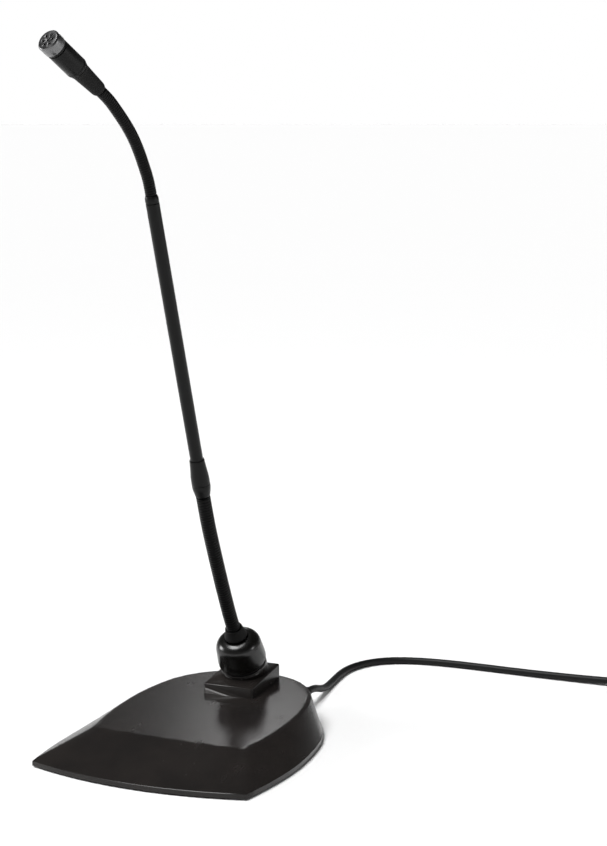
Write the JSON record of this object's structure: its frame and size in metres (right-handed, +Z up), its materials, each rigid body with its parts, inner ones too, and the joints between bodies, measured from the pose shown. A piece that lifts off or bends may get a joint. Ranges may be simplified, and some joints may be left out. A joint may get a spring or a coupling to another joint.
{
  "type": "gooseneck podium microphone",
  "caption": "Desk microphone with a small front-facing head on a slim gooseneck, a turning lock collar and a weighted shield-shaped base with an attached lead.",
  "frame": {"origin": "on the underside of the desk pad, at the middle of the base", "axes": "+Z up, -Y towards the talker, +X to the talker's left as seen from the front; the lead leaves towards +Y"},
  "size_m": [0.386, 0.3878, 0.448],
  "materials": {
    "moulded_black": "satin moulded plastic with a faint grain",
    "collar_black": "satin moulded plastic",
    "painted_black": "satin black paint",
    "flex_black": "black oxide spiral-wound steel",
    "black_rubber": "matt",
    "plain_steel": "zinc-plated",
    "cast_weight": "rough",
    "grille_metal": "dark satin, pierced",
    "foam": "open-cell foam",
    "board_green": "solder-masked board",
    "gold_brass": "plated",
    "cable_jacket": "matt soft vinyl",
    "insert_black": "plain moulded",
    "shell_nickel": "satin nickel"
  },
  "bodies": {
    "base": {"base_housing": "moulded_black", "base_plate": "plain_steel", "desk_pad": "black_rubber", "plate_screw_1": "plain_steel", "plate_screw_2": "plain_steel", "plate_screw_3": "plain_steel", "plate_screw_4": "plain_steel", "ballast_block": "cast_weight", "board_standoff_1": "gold_brass", "board_standoff_2": "gold_brass", "board_screw_1": "plain_steel", "board_screw_2": "plain_steel", "circuit_board": "board_green", "terminal_block": "insert_black", "filter_can": "shell_nickel", "socket_shell": "plain_steel", "collar_seal": "black_rubber", "isolation_sleeve": "black_rubber", "stem_foot": "painted_black", "neck_cone": "black_rubber", "lower_flex_1": "flex_black", "cable_gland": "black_rubber", "cable": "cable_jacket", "cable_coil": "cable_jacket", "cable_tie": "black_rubber", "connector_boot": "black_rubber", "connector_shell": "shell_nickel", "connector_insert": "insert_black", "connector_pin_1": "gold_brass", "connector_pin_2": "gold_brass", "connector_pin_3": "gold_brass"},
    "collar": {"lock_collar": "collar_black"},
    "lower_neck": {"lower_flex_2": "flex_black"},
    "stem": {"lower_flex_3": "flex_black", "lower_ferrule": "painted_black", "mid_tube": "painted_black", "inner_lead": "cable_jacket", "upper_adapter": "painted_black", "upper_flex_1": "flex_black"},
    "upper_neck_low": {"upper_flex_2": "flex_black"},
    "upper_neck_high": {"upper_flex_3": "flex_black"},
    "head": {"upper_flex_4": "flex_black", "head_boot": "black_rubber", "head_barrel": "painted_black", "trim_ring": "painted_black", "grille_cap": "grille_metal", "grille_mesh": "grille_metal", "foam_disc": "foam", "capsule": "shell_nickel", "capsule_gasket": "black_rubber", "capsule_board": "board_green"}
  },
  "joints": [
    {"name": "collar_turn", "type": "hinge", "parent": "base", "child": "collar", "pos_m": [0, 0.0635, 0.03202], "axis": [0, -0.454, 0.891], "range_deg": [0, 180]},
    {"name": "lower_neck_tilt", "type": "hinge", "parent": "base", "child": "lower_neck", "pos_m": [0, 0.03633, 0.08368], "axis": [1, 0, 0], "range_deg": [-35, 35]},
    {"name": "lower_neck_sway", "type": "hinge", "parent": "lower_neck", "child": "stem", "pos_m": [0, 0.01314, 0.13545], "axis": [0, -0.9277, -0.3733], "range_deg": [-35, 35]},
    {"name": "upper_neck_tilt_low", "type": "hinge", "parent": "stem", "child": "upper_neck_low", "pos_m": [-0.0002, -0.06474, 0.36704], "axis": [0.9613, -0.2616, -0.0863], "range_deg": [-30, 30]},
    {"name": "upper_neck_sway", "type": "hinge", "parent": "upper_neck_low", "child": "upper_neck_high", "pos_m": [-0.00182, -0.07802, 0.38927], "axis": [-0.2594, -0.7546, -0.6027], "range_deg": [-30, 30]},
    {"name": "upper_neck_tilt_high", "type": "hinge", "parent": "upper_neck_high", "child": "head", "pos_m": [-0.00498, -0.09576, 0.40794], "axis": [0.9613, -0.2616, -0.0863], "range_deg": [-30, 30]}
  ]
}
